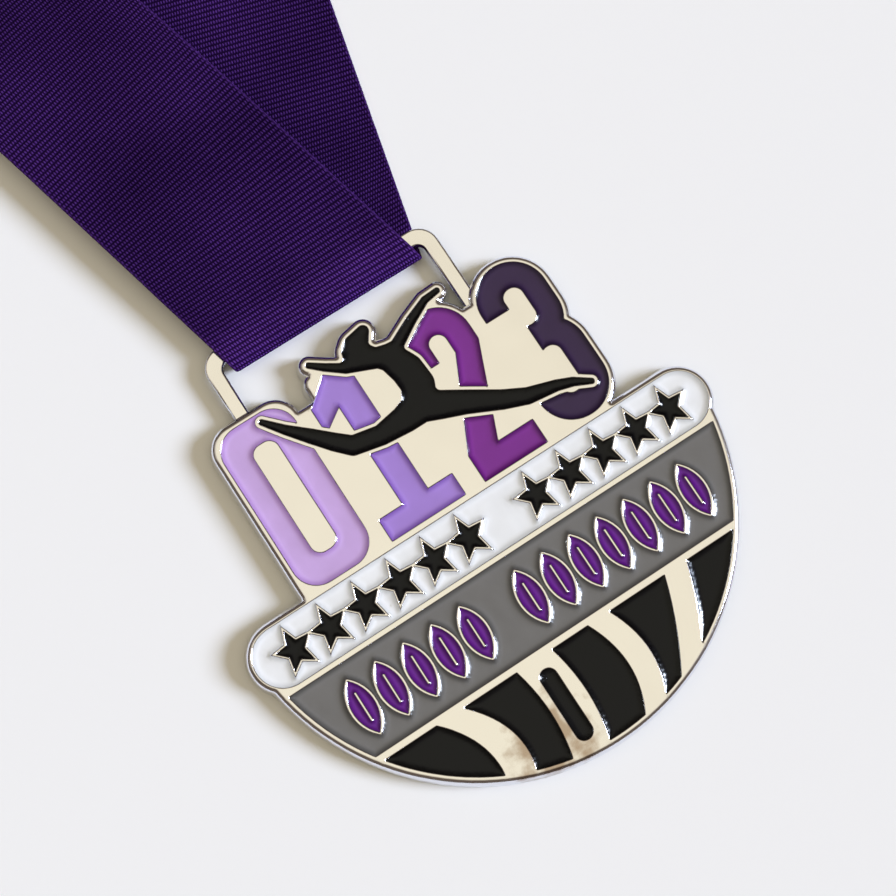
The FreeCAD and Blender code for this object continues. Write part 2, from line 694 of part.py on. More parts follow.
thread = Part.makeCompound([
    zigzag_solid(outer_face, S["thread_high"]),
    zigzag_solid(inner_face - S["thread_high"], S["thread_high"]),
])
keep(solid_piece(thread, "seam_stitching"), "seam_stitching")

doc.recompute()
for obj in doc.Objects:
    if "Invalid" in obj.State or "Error" in obj.State:
        raise RuntimeError("%s is %s" % (obj.Name, obj.State))
os.makedirs("parts", exist_ok=True)
for obj in pieces:
    shape = obj.Shape
    if shape.isNull() or not shape.isValid():
        raise RuntimeError("%s has no valid shape" % obj.Label)
    box = shape.BoundBox
    print("%-22s solids %2d  volume %9.1f  x %.1f..%.1f  y %.1f..%.1f  z %.2f..%.2f" % (
        obj.Label, len(shape.Solids), shape.Volume, box.XMin, box.XMax, box.YMin, box.YMax,
        box.ZMin, box.ZMax))
    shape.exportStep("parts/%s.step" % obj.Label)
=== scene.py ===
import bpy
import math
import bmesh
import numpy as np
from mathutils import Matrix, Vector, kdtree
from mathutils.geometry import delaunay_2d_cdt


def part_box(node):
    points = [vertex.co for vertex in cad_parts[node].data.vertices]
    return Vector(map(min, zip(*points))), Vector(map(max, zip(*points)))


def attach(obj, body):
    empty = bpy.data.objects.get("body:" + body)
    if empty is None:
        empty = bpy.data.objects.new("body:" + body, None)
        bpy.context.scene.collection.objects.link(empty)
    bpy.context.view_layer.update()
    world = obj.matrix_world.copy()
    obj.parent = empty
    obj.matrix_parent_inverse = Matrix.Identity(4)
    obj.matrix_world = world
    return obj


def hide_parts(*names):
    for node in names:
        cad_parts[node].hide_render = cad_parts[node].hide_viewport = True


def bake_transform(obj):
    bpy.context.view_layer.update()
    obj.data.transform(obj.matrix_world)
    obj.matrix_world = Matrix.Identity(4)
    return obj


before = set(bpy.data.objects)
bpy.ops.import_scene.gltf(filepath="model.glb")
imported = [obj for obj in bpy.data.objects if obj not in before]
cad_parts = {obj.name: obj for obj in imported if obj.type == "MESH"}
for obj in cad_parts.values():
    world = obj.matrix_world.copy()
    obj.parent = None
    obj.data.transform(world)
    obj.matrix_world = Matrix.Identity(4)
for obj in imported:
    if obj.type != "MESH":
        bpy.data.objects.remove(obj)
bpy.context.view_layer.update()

MM = 0.001
WELD = 0.002 * MM
CAST_LOW, CAST_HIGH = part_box("medal_casting")


def welded(node):
    """Editable copy of a CAD node's mesh, with its doubled vertices joined."""
    work = bmesh.new()
    work.from_mesh(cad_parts[node].data)
    bmesh.ops.remove_doubles(work, verts=work.verts, dist=WELD)
    return work


def in_scene(name, data):
    made = bpy.data.objects.new(name, data)
    bpy.context.scene.collection.objects.link(made)
    return made


def new_piece(name, mesh, material, *nodes):
    """Visible piece that stands for CAD nodes, with the given material; the CAD nodes are hidden.
    """
    mesh.materials.append(material)
    piece = in_scene(name, mesh)
    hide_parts(*nodes)
    return piece


def store(mesh, name, values):
    """Named value or vector on every vertex, for the material."""
    kind, field = ("FLOAT", "value") if values.ndim == 1 else ("FLOAT_VECTOR", "vector")
    made = mesh.attributes.new(name, kind, "POINT")
    made.data.foreach_set(field, values.astype(np.float32).ravel())


def ease(value):
    value = np.clip(value, 0.0, 1.0)
    return value * value * (3 - 2 * value)


# ---------------------------------------------------------------- nodes

class Nodes:
    """A node tree and short ways to fill it. A value is a number, a colour or an output."""

    def __init__(self, tree):
        self.tree = tree

    def feed(self, node, slot, value):
        """Links an output to an input, or sets the input's value."""
        if isinstance(value, bpy.types.NodeSocket):
            self.tree.links.new(value, node.inputs[slot])
        else:
            node.inputs[slot].default_value = value

    def add(self, kind, **values):
        """New node: each value goes to the node's own setting, or else to its input."""
        node = self.tree.nodes.new(kind)
        for key, value in values.items():
            if hasattr(node, key):
                setattr(node, key, value)
            else:
                self.feed(node, key.replace("_", " "), value)
        return node

    def calc(self, operation, *values):
        node = self.add("ShaderNodeMath", operation=operation)
        for slot, value in enumerate(values):
            self.feed(node, slot, value)
        return node.outputs["Value"]

    def attribute(self, name, output="Fac"):
        return self.add("ShaderNodeAttribute", attribute_name=name).outputs[output]

    def split(self, vector):
        return self.add("ShaderNodeSeparateXYZ", Vector=vector).outputs

    def place(self):
        return self.add("ShaderNodeTexCoord").outputs["Object"]

    def noise(self, **values):
        return self.add("ShaderNodeTexNoise", Vector=self.place(), **values).outputs["Fac"]

    def remap(self, value, **values):
        return self.add("ShaderNodeMapRange", Value=value, **values).outputs["Result"]

    def step(self, value, **values):
        return self.remap(value, interpolation_type="SMOOTHSTEP", **values)

    def mix(self, share, first, second):
        """First colour at share 0, second colour at share 1."""
        node = self.add("ShaderNodeMix", data_type="RGBA", Factor=share, A=first, B=second)
        return node.outputs["Result"]

    def shaded(self, colour, value):
        """Colour made lighter or darker by a factor."""
        return self.add("ShaderNodeHueSaturation", Color=colour, Value=value).outputs["Color"]

    def ramp(self, value, *stops):
        """Colour ramp through stops of (position, colour), the first at 0 and the last at 1."""
        node = self.add("ShaderNodeValToRGB", Fac=value)
        elements = node.color_ramp.elements
        elements[0].color = stops[0][1]
        elements[1].color = stops[-1][1]
        for position, colour in stops[1:-1]:
            elements.new(position).color = colour
        return node.outputs["Color"]

    def bump(self, height, strength, distance, **values):
        node = self.add("ShaderNodeBump", Height=height, Strength=strength, Distance=distance,
                        **values)
        return node.outputs["Normal"]

    def surface(self, **values):
        """Principled shader on the material's output."""
        shader = self.add("ShaderNodeBsdfPrincipled", **values)
        self.add("ShaderNodeOutputMaterial", Surface=shader.outputs["BSDF"])


def new_material(name):
    """Empty node material and its nodes."""
    material = bpy.data.materials.new(name)
    material.use_nodes = True
    material.node_tree.nodes.clear()
    return material, Nodes(material.node_tree)


# ---------------------------------------------------------------- metal and enamel

NICKEL = (0.785, 0.80, 0.875, 1)
FLUTE_BROWN = (0.36, 0.275, 0.22, 1)
FLUTE_BROWN_AT = (-0.011, CAST_LOW.y + 0.007, CAST_HIGH.z)
DULL_NICKEL = (0.10, 0.095, 0.09, 1)


def nickel_browned_at_flutes(nodes):
    """Nickel colour turning copper-brown in a noisy patch at the foot of the flutes."""
    away = nodes.add("ShaderNodeVectorMath", operation="DISTANCE")
    nodes.feed(away, 0, nodes.place())
    nodes.feed(away, 1, FLUTE_BROWN_AT)
    near = nodes.step(away.outputs["Value"], From_Min=2 * MM, From_Max=16 * MM,
                      To_Min=0.62, To_Max=0.0)
    patch = nodes.noise(Scale=300.0, Detail=4.0, Roughness=0.5)
    amount = nodes.step(nodes.calc("ADD", patch, near), From_Min=0.82, From_Max=1.18, To_Max=0.85)
    return nodes.mix(amount, NICKEL, FLUTE_BROWN)


def metal_material():
    """Polished nickel with a faint waviness and a fine grain.

    Seen from a matt surface, such as the table, it is dull and dark, so that it
    throws no mirrored glow there.
    """
    material, nodes = new_material("nickel")
    bounced = nodes.add("ShaderNodeLightPath").outputs["Is Diffuse Ray"]
    cloud = nodes.noise(Scale=160.0, Detail=3.0)
    waves = nodes.bump(nodes.noise(Scale=90.0, Detail=1.0), 0.75, 0.5 * MM)
    grain = nodes.noise(Scale=2600.0, Detail=2.0)
    nodes.surface(Metallic=nodes.calc("SUBTRACT", 1.0, bounced),
                  Base_Color=nodes.mix(bounced, nickel_browned_at_flutes(nodes), DULL_NICKEL),
                  Roughness=nodes.remap(cloud, To_Min=0.07, To_Max=0.16),
                  Normal=nodes.bump(grain, 0.05, 0.02 * MM, Normal=waves))
    return material


def enamel_material(name, colour, edge):
    """Glossy poured enamel, deeper in colour along its walls as painted shade."""
    material, nodes = new_material(name)
    # painted shade: the darker edge colour along the walls, fading into the plain colour away from
    # them
    wall_shaded = nodes.mix(nodes.attribute("wall_shade"), (*edge, 1), (*colour, 1))
    cloud = nodes.noise(Scale=220.0, Detail=2.0)
    nodes.surface(Base_Color=nodes.shaded(wall_shaded, nodes.remap(cloud, To_Min=0.93, To_Max=1.07)),
                  Roughness=0.13,
                  Specular_IOR_Level=0.20,
                  Specular_Tint=(0.88, 0.94, 1.0, 1),
                  Normal=nodes.bump(nodes.noise(Scale=210.0), 0.45, 0.3 * MM))
    return material


# ---------------------------------------------------------------- filling an outline

OUTLINE_STEP = 0.3 * MM
DENSE_STEP = 0.05 * MM
PROBE = 0.02 * MM
GRAIN = 0.06 * MM
BAND = 0.5 * MM
ROW_RISE = 0.866
GRID_CLEAR = 0.45
RING_SLACK = 0.93
CUT_NEAR = 1e-9
TINY = 1e-12
LEVEL_SLACK = 0.002 * MM


def stepped(loop, step):
    """Closed outline resampled so that no side is longer than step; corners are kept."""
    ends = np.roll(loop, -1, axis=0)
    made = []
    for a, b in zip(loop, ends):
        count = max(1, int(math.ceil(np.linalg.norm(b - a) / step)))
        made.append(a + (b - a) * (np.arange(count) / count)[:, None])
    return np.concatenate(made)


def is_inside(points, loops):
    """Even-odd test of many points against all the outlines, one band of y at a time."""
    a = np.concatenate(loops)
    b = np.concatenate([np.roll(loop, -1, axis=0) for loop in loops])
    low = np.minimum(a[:, 1], b[:, 1])
    high = np.maximum(a[:, 1], b[:, 1])
    found = np.zeros(len(points), dtype=bool)
    band = np.floor(points[:, 1] / BAND).astype(int)
    order = np.argsort(band, kind="stable")
    bands, starts = np.unique(band[order], return_index=True)
    for number, picked in zip(bands, np.split(order, starts[1:])):
        near = (high >= number * BAND) & (low <= (number + 1) * BAND)
        x0, y0 = a[near].T
        x1, y1 = b[near].T
        rise = np.where(y1 == y0, TINY, y1 - y0)
        x = points[picked, 0][:, None]
        y = points[picked, 1][:, None]
        spans = (y0 > y) != (y1 > y)
        cross = x0 + (y - y0) * (x1 - x0) / rise
        found[picked] = (spans & (x < cross)).sum(axis=1) % 2 == 1
    return found


def gaps(points, loops):
    """Distance from each point to the nearest of the outlines."""
    dense = np.concatenate([stepped(loop, DENSE_STEP) for loop in loops])
    tree = kdtree.KDTree(len(dense))
    for k, (x, y) in enumerate(dense):
        tree.insert((x, y, 0), k)
    tree.balance()
    return np.array([tree.find((x, y, 0))[2] for x, y in points])


def offset_rings(loops, offsets):
    """Rings of points that follow the outlines on their inner side, each with its offset."""
    rings = []
    for loop in loops:
        along = np.roll(loop, -1, axis=0) - np.roll(loop, 1, axis=0)
        out = np.stack([-along[:, 1], along[:, 0]], axis=1)
        out /= np.maximum(np.linalg.norm(out, axis=1), TINY)[:, None]
        flip = np.where(is_inside(loop + out * PROBE, loops), 1.0, -1.0)
        rings += [(loop + out * (flip * d)[:, None], d) for d in offsets]
    return rings


def staggered_grid(outline, pitch):
    """Triangular grid of points over the outline's box."""
    low = outline.min(axis=0)
    high = outline.max(axis=0)
    rows = np.arange(low[1], high[1], pitch * ROW_RISE)
    across = np.arange(low[0], high[0], pitch)
    shift = (np.arange(len(rows)) % 2) * pitch / 2
    return np.stack([(across[None, :] + shift[:, None]).ravel(),
                     np.repeat(rows, len(across))], axis=1)


def inner_points(loops, offsets, pitch):
    """Rings and grid inside the outlines, thinned where they crowd each other."""
    grid = staggered_grid(np.concatenate(loops), pitch)
    spread = offset_rings(loops, offsets) + [(grid, offsets[-1] + pitch * GRID_CLEAR)]
    points = np.concatenate([ring for ring, need in spread])
    needs = np.concatenate([np.full(len(ring), need) for ring, need in spread])
    held = is_inside(points, loops)
    points = points[held]
    points = points[gaps(points, loops) > needs[held] * RING_SLACK]
    cells = np.round(points / GRAIN).astype(int)
    first_in_cell = np.unique(cells, axis=0, return_index=True)[1]
    return points[np.sort(first_in_cell)]


def graded_fill(loops, offsets, pitch):
    """Points and triangles inside the outlines, close-set along their borders."""
    points = np.concatenate(loops + [inner_points(loops, offsets, pitch)])
    edges = []
    start = 0
    for loop in loops:
        edges += [(start + k, start + (k + 1) % len(loop)) for k in range(len(loop))]
        start += len(loop)
    made = delaunay_2d_cdt([Vector(p) for p in points], edges, [], 0, CUT_NEAR)
    if len(made[0]) != len(points):
        raise RuntimeError("outline points were merged")
    faces = np.array(made[2])
    middle = points[faces].mean(axis=1)
    return points, faces[is_inside(middle, loops)]


def top_rim(work, top):
    """Flat top faces of a mesh and the edges round them."""
    flat = {f for f in work.faces if all(abs(v.co.z - top) < LEVEL_SLACK for v in f.verts)}
    rim = [e for e in work.edges if sum(f in flat for f in e.link_faces) == 1]
    return flat, rim


def ordered_loops(rim):
    """Closed chains of vertices along the rim edges."""
    around = {}
    for edge in rim:
        for v in edge.verts:
            around.setdefault(v, []).append(edge)
    loops = []
    free = set(rim)
    for edge in rim:
        if edge not in free:
            continue
        free.discard(edge)
        first, here = edge.verts
        chain = [first]
        while here is not first:
            chain.append(here)
            edge = next(e for e in around[here] if e in free)
            free.discard(edge)
            here = edge.other_vert(here)
        loops.append(chain)
    return loops


def flat_outline(chain):
    return np.array([(v.co.x, v.co.y) for v in chain])


# ---------------------------------------------------------------- poured enamel

POUR_OFFSETS = np.array([0.05, 0.12, 0.21, 0.33, 0.47, 0.62, 0.80, 1.00, 1.25]) * MM
POUR_PITCH = 0.6 * MM
LIP = 0.10 * MM
CLING = 0.14 * MM
CLING_REACH = 0.22 * MM
SINK = 0.36 * MM
SINK_REACH = 1.5 * MM
CROWN = 0.16 * MM
CROWN_REACH = 3.4 * MM
# reach of the painted shade along the enamel's walls
WALL_SHADE_REACH = 1.0 * MM
LEVELLING = 8


def smoothed(height, points, faces, fixed):
    """Evens out heights over the triangles, near points counting most; fixed points stay."""
    pairs = np.concatenate([faces[:, [0, 1]], faces[:, [1, 2]], faces[:, [2, 0]]])
    pairs = np.unique(np.concatenate([pairs, pairs[:, ::-1]]), axis=0)
    here, there = pairs.T
    apart = np.linalg.norm(points[here] - points[there], axis=1)
    weight = 1 / np.maximum(apart, GRAIN)
    whole = np.bincount(here, weights=weight, minlength=len(height))
    for _ in range(LEVELLING):
        total = np.bincount(here, weights=weight * height[there], minlength=len(height))
        height = np.where(fixed, height, 0.5 * height + 0.5 * total / whole)
    return height


def pour_height(gap, top):
    """Enamel level at a distance from its walls: clings there, sinks, then crowns again."""
    cling = CLING * (1 - np.exp(-gap / CLING_REACH))
    sink = SINK * ease(gap / SINK_REACH)
    return top - LIP - cling - sink + CROWN * ease(gap / CROWN_REACH)


def closed_slab(name, points, faces, height, floor):
    """Mesh with a shaped top, a flat underside and upright walls."""
    count = len(points)
    upper = np.column_stack([points, height])
    lower = np.column_stack([points, np.full(count, floor)])
    sides = dict.fromkeys((a, b) for f in faces.tolist() for a, b in zip(f, f[1:] + f[:1]))
    walls = [(b, a, a + count, b + count) for a, b in sides if (b, a) not in sides]
    bottom = (faces[:, ::-1] + count).tolist()
    mesh = bpy.data.meshes.new(name)
    mesh.from_pydata(np.concatenate([upper, lower]).tolist(), [], faces.tolist() + walls + bottom)
    mesh.validate()
    flat = [False] * (len(walls) + len(bottom))
    mesh.polygons.foreach_set("use_smooth", [True] * len(faces) + flat)
    return mesh


def poured(name, node, material):
    """Enamel fill of all the cells of one CAD node."""
    low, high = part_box(node)
    work = welded(node)
    loops = [flat_outline(chain) for chain in ordered_loops(top_rim(work, high.z)[1])]
    work.free()
    loops = [stepped(loop, OUTLINE_STEP) for loop in loops]
    points, faces = graded_fill(loops, POUR_OFFSETS, POUR_PITCH)
    gap = gaps(points, loops)
    on_wall = np.arange(len(points)) < sum(len(loop) for loop in loops)
    height = smoothed(pour_height(gap, high.z), points, faces, on_wall)
    mesh = closed_slab(name, points, faces, height, low.z)
    # share of plain colour against the painted wall shade, 0 at the walls
    store(mesh, "wall_shade", np.tile(ease(gap / WALL_SHADE_REACH), 2))
    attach(new_piece(name, mesh, material, node), "medal")


# Columns: name, colour, darker colour painted along the walls as shade, CAD nodes.
ENAMELS = [
    ("lilac", (0.58, 0.40, 0.76), (0.42, 0.25, 0.60), ["numeral_zero"]),
    ("lavender", (0.37, 0.23, 0.66), (0.22, 0.11, 0.46), ["numeral_one"]),
    ("purple", (0.20, 0.030, 0.27), (0.09, 0.008, 0.13), ["numeral_two"]),
    ("aubergine", (0.040, 0.022, 0.062), (0.014, 0.006, 0.026), ["numeral_three"]),
    ("black", (0.003, 0.003, 0.0045), (0.001, 0.001, 0.0015),
     ["dancer", "banner_stars", "base_fields"]),
    ("white", (0.84, 0.87, 0.90), (0.66, 0.69, 0.72), ["banner_field"]),
    ("grey", (0.165, 0.163, 0.160), (0.080, 0.079, 0.078), ["band_field"]),
    ("violet", (0.14, 0.018, 0.27), (0.07, 0.006, 0.14), ["band_leaves"]),
]
for shade, colour, edge, fields in ENAMELS:
    paint = enamel_material("enamel_" + shade, colour, edge)
    for field in fields:
        poured("poured_" + field, "enamel_" + field, paint)


# ---------------------------------------------------------------- casting

EDGE_IN = 0.22 * MM
EDGE_OUT_WIDE = 0.95 * MM
EDGE_OUT_HIGH = 0.60 * MM
METAL_OFFSETS = np.array([0.03, 0.08, 0.15, 0.24, 0.36, 0.50, 0.66, 0.82, 0.98]) * MM
METAL_PITCH = 0.9 * MM
SHARP = math.radians(38)
FLAT_NORMAL = 0.9999
BAR_DEPTH = 1.0 * MM
BAR_SLACK = 0.005 * MM
BAR_FACING = 0.99
BAR_EDGE = 0.42 * MM
BAR_EDGE_STEPS = 4
BAR_CORNER = 0.5


def rounding(gap, radius):
    """Drop of a quarter-round edge at a distance from the outline."""
    left = np.clip(1 - gap / radius, 0, 1)
    return radius * (1 - np.sqrt(1 - left * left))


def easing(gap, wide, high):
    """Drop of a wide, softly rolled edge at a distance from the outline."""
    return high * np.clip(1 - gap / wide, 0, 1) ** 2


def loop_area(loop):
    after = np.roll(loop, -1, axis=0)
    return abs(np.sum(loop[:, 0] * after[:, 1] - loop[:, 1] * after[:, 0])) / 2


def shelf_faces(work, level, way):
    """Faces that look up (way 1) or down (way -1) at one level."""
    return [f for f in work.faces if f.normal.z * way > BAR_FACING
            and abs(f.calc_center_median().z - level) < BAR_SLACK]


def ease_ribbon_loop(work):
    """Rounds the upper and lower edges of the loop that the ribbon hangs on."""
    bar = [v.co.z for v in work.verts if v.co.y > CAST_HIGH.y - BAR_DEPTH]
    for level, way in ((max(bar), 1), (min(bar), -1)):
        bmesh.ops.dissolve_faces(work, faces=shelf_faces(work, level, way))
        edges = {e for f in shelf_faces(work, level, way) for e in f.edges
                 if e.calc_face_angle_signed(0) > BAR_CORNER}
        bmesh.ops.bevel(work, geom=list(edges), offset=BAR_EDGE, offset_type="OFFSET",
                        segments=BAR_EDGE_STEPS, profile=0.5, affect="EDGES", clamp_overlap=False)


def cut_chain(work, chain):
    """Closed chain of vertices after its long edges are cut into even short ones."""
    made = []
    for a, b in zip(chain, chain[1:] + chain[:1]):
        made.append(a)
        count = int(math.ceil((b.co - a.co).length / OUTLINE_STEP))
        here = a
        for left in range(count, 1, -1):
            edge = next(e for e in here.link_edges if e.other_vert(here) is b)
            here = bmesh.utils.edge_split(edge, here, 1.0 / left)[1]
            made.append(here)
    return made


def casting_drop(points, loops):
    """Fall of the top face: rolled off along the outer rim, rounded at every inner edge."""
    outer = max(loops, key=loop_area)
    inner = [loop for loop in loops if loop is not outer]
    return np.maximum(easing(gaps(points, [outer]), EDGE_OUT_WIDE, EDGE_OUT_HIGH),
                      rounding(gaps(points, inner), EDGE_IN))


def casting_mesh():
    """The casting with every top edge rounded over, and the ribbon loop's edges eased."""
    top = CAST_HIGH.z
    work = welded("medal_casting")
    ease_ribbon_loop(work)
    flat, rim = top_rim(work, top)
    chains = ordered_loops(rim)
    bmesh.ops.delete(work, geom=list(flat), context="FACES_ONLY")
    chains = [cut_chain(work, chain) for chain in chains]
    loops = [flat_outline(chain) for chain in chains]
    points, faces = graded_fill(loops, METAL_OFFSETS, METAL_PITCH)
    drop = casting_drop(points, loops)
    verts = [v for chain in chains for v in chain]
    for v, fall in zip(verts, drop):
        v.co.z = top - fall
    for (x, y), fall in zip(points[len(verts):], drop[len(verts):]):
        verts.append(work.verts.new((x, y, top - fall)))
    for face in faces.tolist():
        work.faces.new([verts[k] for k in face])
    bmesh.ops.triangulate(work, faces=[f for f in work.faces if len(f.verts) > 4])
    bmesh.ops.recalc_face_normals(work, faces=work.faces)
    mesh = bpy.data.meshes.new("nickel_casting")
    work.to_mesh(mesh)
    work.free()
    mesh.set_sharp_from_angle(angle=SHARP)
    smooth = [abs(p.normal.z) <= FLAT_NORMAL or p.center.z >= top - EDGE_OUT_HIGH
              for p in mesh.polygons]
    mesh.polygons.foreach_set("use_smooth", smooth)
    return mesh


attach(new_piece("nickel_casting", casting_mesh(), metal_material(), "medal_casting"), "medal")


# ---------------------------------------------------------------- ribbon edges

STEP = 0.25 * MM
EASE = 3.0 * MM
EASE_SPREAD = 3
SKEW_REACH = 42 * MM
RIDGE = math.radians(50)
RAIL_SAMPLES = 400
PARTNER_SEARCH = 60
PARTNER_BLUR = 40
FOLD_STEPS = 60


def long_edges(node, start):
    """Left and right edges of a ribbon node at mid thickness, from the end near start."""
    work = welded(node)
    around = {}
    for edge in work.edges:
        if edge.calc_face_angle(0) > RIDGE:
            for v in edge.verts:
                around.setdefault(v, []).append(edge)
    corners = [v for v in around if len(around[v]) == 3]
    corners.sort(key=lambda v: abs(v.co.y - start))
    near = corners[:4]
    rails = []
    for corner in near:
        for edge in around[corner]:
            chain = [corner]
            here = edge.other_vert(corner)
            while len(around[here]) == 2:
                chain.append(here)
                edge = next(e for e in around[here] if e is not edge)
                here = edge.other_vert(here)
            if here not in near:
                rails.append(np.array([tuple(v.co) for v in chain + [here]]))
    work.free()
    rails.sort(key=lambda rail: rail[0][0])
    shares = np.linspace(0, 1, RAIL_SAMPLES)
    return [(at_share(a, shares) + at_share(b, shares)) / 2 for a, b in (rails[:2], rails[2:])]


def lengths(points):
    steps = np.linalg.norm(np.diff(points, axis=0), axis=1)
    return np.concatenate([[0], np.cumsum(steps)])


def resampled(where, along, points):
    """Points of a line at new places along it."""
    return np.stack([np.interp(where, along, points[:, k]) for k in range(3)], axis=1)


def at_share(points, shares):
    along = lengths(points)
    return resampled(shares * along[-1], along, points)


def eased_rail(parts):
    """Edge joined from its parts, at an even step, with its facets smoothed away."""
    points = np.concatenate(parts)
    count = int(round(lengths(points)[-1] / STEP))
    points = at_share(points, np.linspace(0, 1, count + 1))
    reach = int(EASE_SPREAD * EASE / STEP)
    weights = np.exp(-0.5 * (np.arange(-reach, reach + 1) * STEP / EASE) ** 2)
    weights /= weights.sum()
    before = 2 * points[0] - points[reach:0:-1]
    after = 2 * points[-1] - points[-2:-reach - 2:-1]
    padded = np.concatenate([before, points, after])
    return np.stack([np.convolve(padded[:, k], weights, "valid") for k in range(3)], axis=1)


def tangents(rail):
    made = np.gradient(rail, axis=0)
    return made / np.linalg.norm(made, axis=1)[:, None]


def square_partner(left, right):
    """For each point of the left edge, the place on the right edge straight across."""
    way_left = tangents(left)
    way_right = tangents(right)
    partner = np.empty(len(left))
    last = 0
    for k in range(len(left)):
        low = max(0, last - PARTNER_SEARCH)
        high = min(len(right), last + PARTNER_SEARCH)
        gap = right[low:high] - left[k]
        lead = np.sum(gap * (way_left[k] + way_right[low:high]), axis=1)
        last = low + int(np.argmin(np.abs(lead)))
        partner[k] = last
    return partner


def half_strip(leg_node, run_node):
    """Left and right edge points of one half of the ribbon, from the fold to the lap."""
    leg_sides = long_edges(leg_node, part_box(leg_node)[0].y)
    run_sides = long_edges(run_node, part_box(run_node)[0].y)
    left, right = (eased_rail(parts) for parts in zip(leg_sides, run_sides))
    start = np.arange(len(left), dtype=float)
    turned = ease(start * STEP / SKEW_REACH)
    partner = start * (1 - turned) + square_partner(left, right) * turned
    even = np.full(2 * PARTNER_BLUR + 1, 1 / (2 * PARTNER_BLUR + 1))
    shift = np.pad(partner - start, PARTNER_BLUR, mode="edge")
    partner = np.clip(start + np.convolve(shift, even, "valid"), 0, len(right) - 1)
    partner[0] = 0
    partner[-1] = len(right) - 1
    return left, resampled(partner, np.arange(len(right)), right)


def bar_turn(front, back):
    """Half turn of one edge round the loop's bar, between its front and back ends."""
    share = np.linspace(0, 1, FOLD_STEPS + 2)[1:-1]
    middle = (front + back) / 2
    radius = (front[2] - back[2]) / 2
    return np.stack([front[0] + (back[0] - front[0]) * share,
                     middle[1] - radius * np.sin(np.pi * share),
                     middle[2] + radius * np.cos(np.pi * share)], axis=1)


def whole_strip():
    """Edge points of the whole ribbon, from one cut end round the bar to the other."""
    front = half_strip("ribbon_front_leg", "ribbon_left_run")
    back = half_strip("ribbon_back_leg", "ribbon_right_run")
    return [np.concatenate([a[::-1], bar_turn(a[0], b[0]), b]) for a, b in zip(front, back)]


# ---------------------------------------------------------------- ribbon cloth

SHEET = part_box("ribbon_back_leg")[1].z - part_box("ribbon_back_leg")[0].z
RIB = 0.95 * MM
RIB_DEPTH = 0.15 * MM
RIB_DIPS = np.array([1.0, 0.22, 0.0, 0.22])
WARP = 0.52 * MM
# From each edge of the ribbon inward: distance in mm, share of the thickness lost, rib depth.
SECTION = ((0.0, 0.55, 0.25), (0.10, 0.30, 0.35), (0.42, 0.06, 0.55), (1.1, 0.0, 1.0),
           (6.0, 0.0, 1.0), (13.0, 0.0, 1.0))
# Ribbon colours: the dark end is painted shade in the rib grooves, the light end painted light on
# the rib crests.
RIBBON_DARK = (0.0050, 0.0018, 0.013, 1)
RIBBON_MAIN = (0.0150, 0.0038, 0.043, 1)
RIBBON_LIGHT = (0.088, 0.032, 0.225, 1)
RIBBON_EDGE = (0.060, 0.020, 0.150, 1)
THREAD_DARK = (0.035, 0.012, 0.10, 1)
THREAD_LIGHT = (0.085, 0.035, 0.22, 1)


def ribbed_rings(left, right, dips):
    """Rows of points round the ribbon's section, and each point's distance from the left edge."""
    across = right - left
    wide = np.linalg.norm(across, axis=1)
    across /= wide[:, None]
    normal = np.cross(np.gradient((left + right) / 2, axis=0), across)
    normal /= np.linalg.norm(normal, axis=1)[:, None]
    stations = [(np.full(len(left), gap * MM), less, share) for gap, less, share in SECTION]
    stations += [(wide - gap * MM, less, share) for gap, less, share in reversed(SECTION)]
    tops = []
    bottoms = []
    for place, less, share in stations:
        base = left + across * place[:, None]
        rise = (SHEET / 2 * (1 - less) - dips * share)[:, None]
        tops.append(base + normal * rise)
        bottoms.append(base - normal * rise)
    places = [place for place, less, share in stations]
    rings = np.stack(tops + bottoms[::-1], axis=1)
    return rings, np.stack(places + places[::-1], axis=1), wide


def tube_faces(count, size):
    """Quads along a closed tube of count rings with size points each, and its two end caps."""
    rows = np.arange(count - 1)[:, None] * size
    here = rows + np.arange(size)[None, :]
    after = rows + (np.arange(size)[None, :] + 1) % size
    quads = np.stack([here, here + size, after + size, after], axis=2).reshape(-1, 4)
    shift = (count - 1) * size
    caps = []
    for k in range(size // 2 - 1):
        a, b, c, d = k, k + 1, size - 2 - k, size - 1 - k
        caps.append((a, b, c, d))
        caps.append((d + shift, c + shift, b + shift, a + shift))
    return quads.tolist(), caps


def ribbon_mesh():
    """Closed grosgrain strip with a raised rib for every weft cord."""
    left, right = whole_strip()
    along = lengths((left + right) / 2)
    count = int(along[-1] / RIB) * len(RIB_DIPS) + 1
    where = np.linspace(0, along[-1], count)
    left = resampled(where, along, left)
    right = resampled(where, along, right)
    dips = RIB_DIPS[np.arange(count) % len(RIB_DIPS)]
    rings, places, wide = ribbed_rings(left, right, dips * RIB_DEPTH)
    size = rings.shape[1]
    quads, caps = tube_faces(count, size)
    mesh = bpy.data.meshes.new("ribbon")
    mesh.from_pydata(rings.reshape(-1, 3).tolist(), [], quads + caps)
    mesh.validate()
    u = np.repeat(where, size)
    v = places.ravel()
    fold_at = where[np.argmin(((left + right) / 2)[:, 1])]
    store(mesh, "cloth", np.stack([u, v, np.repeat(dips, size)], axis=1))
    store(mesh, "bend", np.abs(u - fold_at))
    store(mesh, "border", np.minimum(v, np.repeat(wide, size) - v))
    mesh.polygons.foreach_set("use_smooth", [True] * len(quads) + [False] * len(caps))
    return mesh


